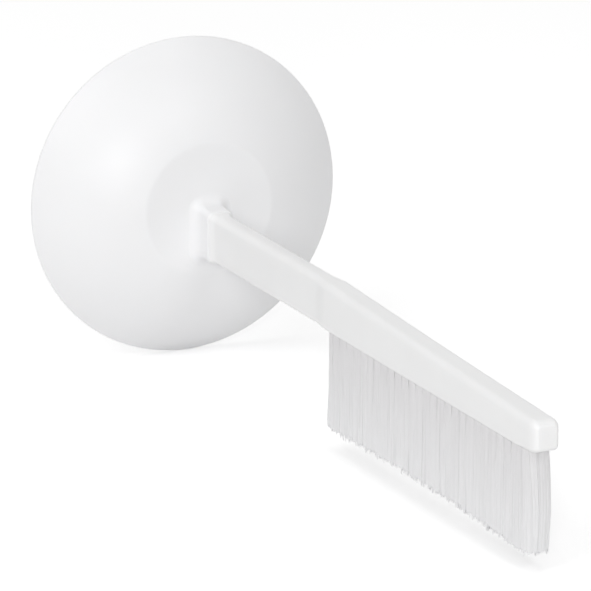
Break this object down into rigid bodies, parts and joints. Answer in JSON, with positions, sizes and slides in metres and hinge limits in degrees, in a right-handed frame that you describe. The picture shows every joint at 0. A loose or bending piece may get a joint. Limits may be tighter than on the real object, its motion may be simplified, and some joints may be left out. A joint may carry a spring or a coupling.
{
  "type": "knife cleaning brush",
  "caption": "Long narrow cleaning brush with a tapering bristle block, staggered tufts, and a domed hand shield on its handle that keeps the fingers away from a blade.",
  "frame": {"origin": "centre of the hang hole, on the handle's centreline", "axes": "+X along the brush from the hang hole to the tip, +Z away from the bristles, +Y to the left"},
  "size_m": [0.4151, 0.14, 0.137],
  "materials": {
    "bar_plastic": "white polypropylene, satin as moulded",
    "shield_plastic": "white polypropylene, satin as moulded",
    "filament": "white polyester filament, drawn"
  },
  "bodies": {
    "root": {"brush_body": "bar_plastic", "hand_shield": "shield_plastic", "tuft_right_01": "filament", "tuft_right_02": "filament", "tuft_right_03": "filament", "tuft_right_04": "filament", "tuft_right_05": "filament", "tuft_right_06": "filament", "tuft_right_07": "filament", "tuft_right_08": "filament", "tuft_right_09": "filament", "tuft_right_10": "filament", "tuft_right_11": "filament", "tuft_right_12": "filament", "tuft_right_13": "filament", "tuft_right_14": "filament", "tuft_right_15": "filament", "tuft_right_16": "filament", "tuft_right_17": "filament", "tuft_right_18": "filament", "tuft_right_19": "filament", "tuft_right_20": "filament", "tuft_right_21": "filament", "tuft_right_22": "filament", "tuft_right_23": "filament", "tuft_right_24": "filament", "tuft_right_25": "filament", "tuft_right_26": "filament", "tuft_right_27": "filament", "tuft_right_28": "filament", "tuft_left_01": "filament", "tuft_left_02": "filament", "tuft_left_03": "filament", "tuft_left_04": "filament", "tuft_left_05": "filament", "tuft_left_06": "filament", "tuft_left_07": "filament", "tuft_left_08": "filament", "tuft_left_09": "filament", "tuft_left_10": "filament", "tuft_left_11": "filament", "tuft_left_12": "filament", "tuft_left_13": "filament", "tuft_left_14": "filament", "tuft_left_15": "filament", "tuft_left_16": "filament", "tuft_left_17": "filament", "tuft_left_18": "filament", "tuft_left_19": "filament", "tuft_left_20": "filament", "tuft_left_21": "filament", "tuft_left_22": "filament", "tuft_left_23": "filament", "tuft_left_24": "filament", "tuft_left_25": "filament", "tuft_left_26": "filament", "tuft_left_27": "filament", "tuft_left_28": "filament"}
  },
  "joints": []
}
